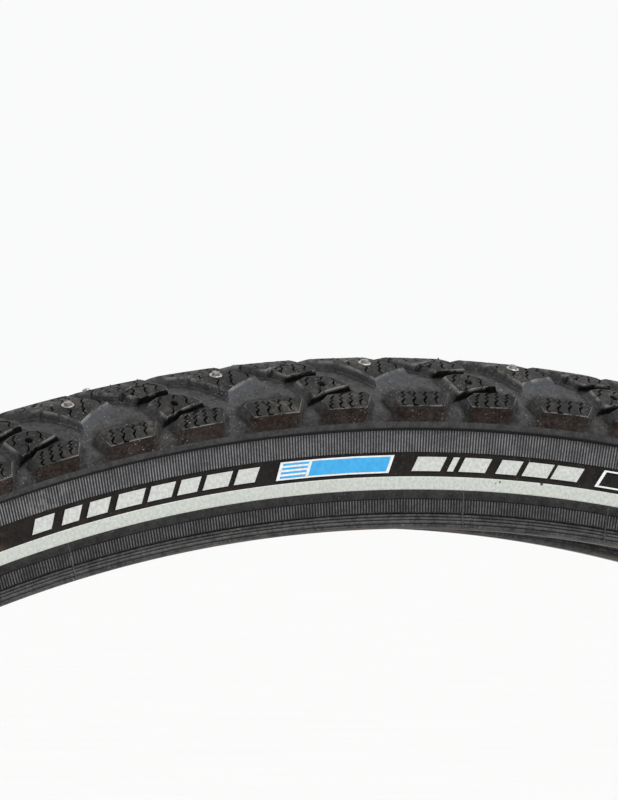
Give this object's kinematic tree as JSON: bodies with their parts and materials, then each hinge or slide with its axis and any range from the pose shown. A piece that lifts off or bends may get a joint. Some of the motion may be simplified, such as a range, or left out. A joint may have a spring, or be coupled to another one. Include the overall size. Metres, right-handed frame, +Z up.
{
  "type": "bicycle tire",
  "caption": "Studded winter bicycle tire off the rim, with siped rubber blocks, a reflective stripe and ribbed sidewalls, layered casing and wire beads.",
  "frame": {"origin": "on the axle line, midway between the two beads", "axes": "+Y along the axle to the tire's left side, +Z up, +X forwards"},
  "size_m": [0.6952, 0.0416, 0.6952],
  "materials": {
    "tread_rubber": "matt black rubber, dusty",
    "sidewall_rubber": "satin black rubber with fine ribs",
    "chafer_rubber": "satin hard rubber",
    "casing_fabric": "rubberised nylon",
    "belt_fabric": "rubberised aramid",
    "bead_steel": "brass plated wire",
    "reflective_film": "retroreflective silver film",
    "stud_steel": "pressed steel",
    "carbide": "sintered tungsten carbide",
    "print_silver": "silver print",
    "print_blue": "blue print"
  },
  "bodies": {
    "root": {"tread": "tread_rubber", "puncture_belt": "belt_fabric", "casing_ply_outer": "casing_fabric", "casing_ply_inner": "casing_fabric", "sidewall_left": "sidewall_rubber", "reflective_stripe_left": "reflective_film", "chafer_left": "chafer_rubber", "bead_filler_left": "chafer_rubber", "bead_wires_left": "bead_steel", "stud_bodies_left": "stud_steel", "stud_pins_left": "carbide", "side_marks_left": "print_silver", "badge_field_left": "print_blue", "badge_border_left": "print_silver", "sidewall_right": "sidewall_rubber", "reflective_stripe_right": "reflective_film", "chafer_right": "chafer_rubber", "bead_filler_right": "chafer_rubber", "bead_wires_right": "bead_steel", "stud_bodies_right": "stud_steel", "stud_pins_right": "carbide", "side_marks_right": "print_silver", "badge_field_right": "print_blue", "badge_border_right": "print_silver"}
  },
  "joints": []
}
